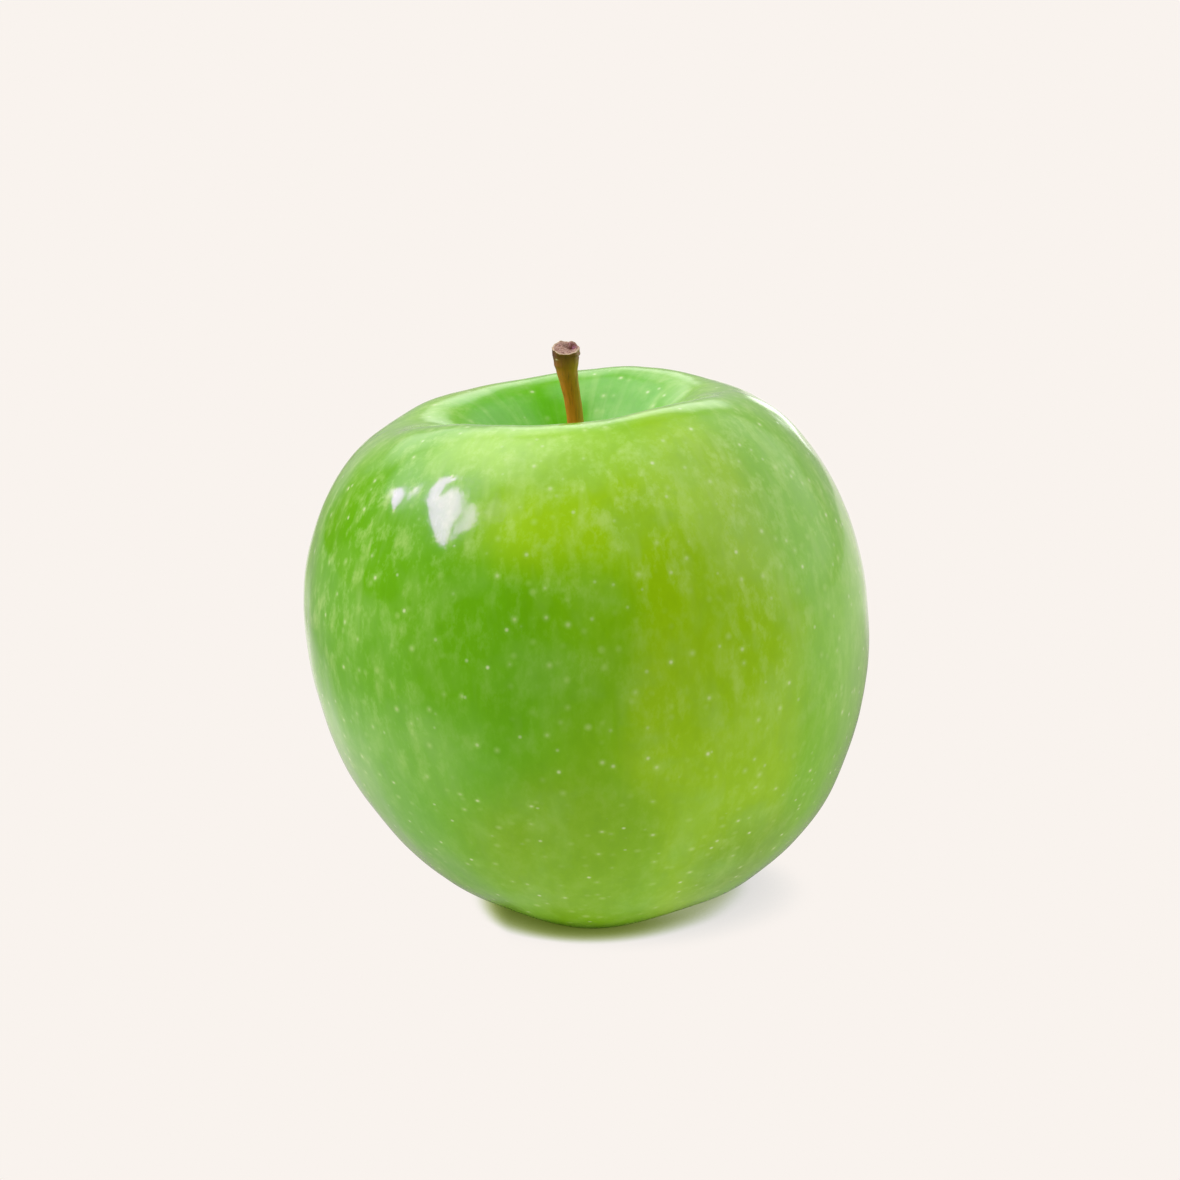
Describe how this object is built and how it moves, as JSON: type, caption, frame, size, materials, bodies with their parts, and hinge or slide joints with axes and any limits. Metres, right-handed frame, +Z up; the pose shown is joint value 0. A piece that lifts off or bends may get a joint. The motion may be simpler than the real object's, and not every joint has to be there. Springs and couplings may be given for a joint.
{
  "type": "green apple",
  "caption": "Whole green apple with its woody stem in the top hollow and a dried calyx underneath, standing on the feet of its lobes.",
  "frame": {"origin": "on the surface that the apple stands on, below the middle of the fruit", "axes": "+Z up, the stem end on top; -Y is the side the picture shows, with the front foot and the stem's tilted torn end; +X is the taller right side"},
  "size_m": [0.0781, 0.0782, 0.0788],
  "materials": {
    "apple_skin": "smooth waxy skin, bright green with pale dots, glossy",
    "stem_bark": "thin young bark, satin brown to olive, with a rough torn end",
    "dried_calyx": "dried sepals, matte and felted"
  },
  "bodies": {
    "root": {"fruit": "apple_skin", "stem": "stem_bark", "calyx": "dried_calyx"}
  },
  "joints": []
}
